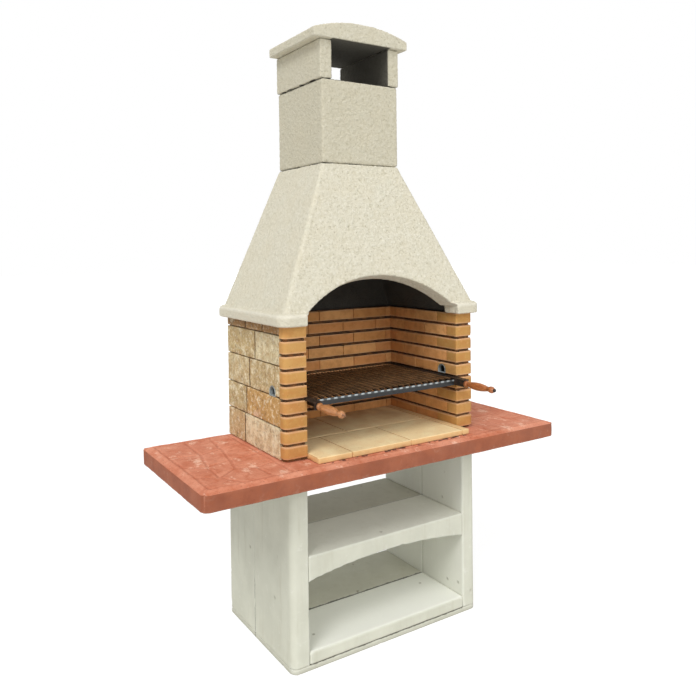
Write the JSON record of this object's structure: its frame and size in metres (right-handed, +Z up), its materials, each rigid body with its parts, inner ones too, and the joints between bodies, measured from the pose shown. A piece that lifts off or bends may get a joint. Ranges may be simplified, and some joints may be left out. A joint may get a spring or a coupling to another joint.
{
  "type": "outdoor masonry barbecue",
  "caption": "Free-standing masonry barbecue with a shelved base, wide worktop, brick firebox, arched hood, chimney and a pull-out grill on side slots.",
  "frame": {"origin": "on the ground, at the middle of the footprint from handle tips to chimney back", "axes": "+Z up, -Y to the front where the fire is fed and the grill is pulled out, +X to the right seen from the front"},
  "size_m": [1.494, 0.7086, 2.2463],
  "materials": {
    "white_concrete": "smooth cast, off-white, matt",
    "terracotta_concrete": "coloured cast concrete with a paving relief, matt",
    "firebrick": "fired, golden orange, matt, with recessed dark joints",
    "cast_stone": "cast stone facing, sandy, pitted, matt",
    "hearth_tile": "cream refractory tile, matt",
    "render": "rough textured render, cream, matt",
    "black_steel": "blackened steel, satin",
    "rusted_steel": "used sheet steel with brown rust and fat, rough",
    "galvanised_steel": "galvanised sheet, dull",
    "turned_wood": "varnished turned wood, satin"
  },
  "bodies": {
    "masonry": {"base_plate": "white_concrete", "base_side_left_front": "white_concrete", "base_side_left_rear": "white_concrete", "base_side_right_front": "white_concrete", "base_side_right_rear": "white_concrete", "brick_back_1": "firebrick", "brick_back_2": "firebrick", "brick_back_3": "firebrick", "brick_back_4": "firebrick", "brick_back_5": "firebrick", "brick_back_6": "firebrick", "brick_back_7": "firebrick", "brick_back_8": "firebrick", "brick_back_9": "firebrick", "brick_left_1": "firebrick", "brick_left_2": "firebrick", "brick_left_3": "firebrick", "brick_left_4": "firebrick", "brick_left_5": "firebrick", "brick_left_6": "firebrick", "brick_left_7": "firebrick", "brick_left_8": "firebrick", "brick_left_9": "firebrick", "brick_right_1": "firebrick", "brick_right_2": "firebrick", "brick_right_3": "firebrick", "brick_right_4": "firebrick", "brick_right_5": "firebrick", "brick_right_6": "firebrick", "brick_right_7": "firebrick", "brick_right_8": "firebrick", "brick_right_9": "firebrick", "chimney_block": "render", "chimney_cap": "render", "cowl_cheek_left": "render", "cowl_cheek_right": "render", "hearth_tile_front_1": "hearth_tile", "hearth_tile_front_2": "hearth_tile", "hearth_tile_front_3": "hearth_tile", "hearth_tile_rear_1": "hearth_tile", "hearth_tile_rear_2": "hearth_tile", "hearth_tile_strip": "hearth_tile", "hood": "render", "lower_shelf_front": "white_concrete", "lower_shelf_rear": "white_concrete", "spit_sleeve_left": "galvanised_steel", "spit_sleeve_right": "galvanised_steel", "stone_cladding_left": "cast_stone", "stone_cladding_right": "cast_stone", "upper_shelf_front": "white_concrete", "upper_shelf_rear": "white_concrete", "worktop": "terracotta_concrete"},
    "grill": {"grill_channels": "rusted_steel", "grill_gutter": "galvanised_steel", "grill_handle_left": "turned_wood", "grill_handle_right": "turned_wood", "grill_rail_left": "black_steel", "grill_rail_right": "black_steel", "handle_nut_left": "black_steel", "handle_nut_right": "black_steel"}
  },
  "joints": [
    {"name": "grill_pull", "type": "slide", "parent": "masonry", "child": "grill", "axis": [0, -1, 0], "range_m": [0, 0.3]}
  ]
}
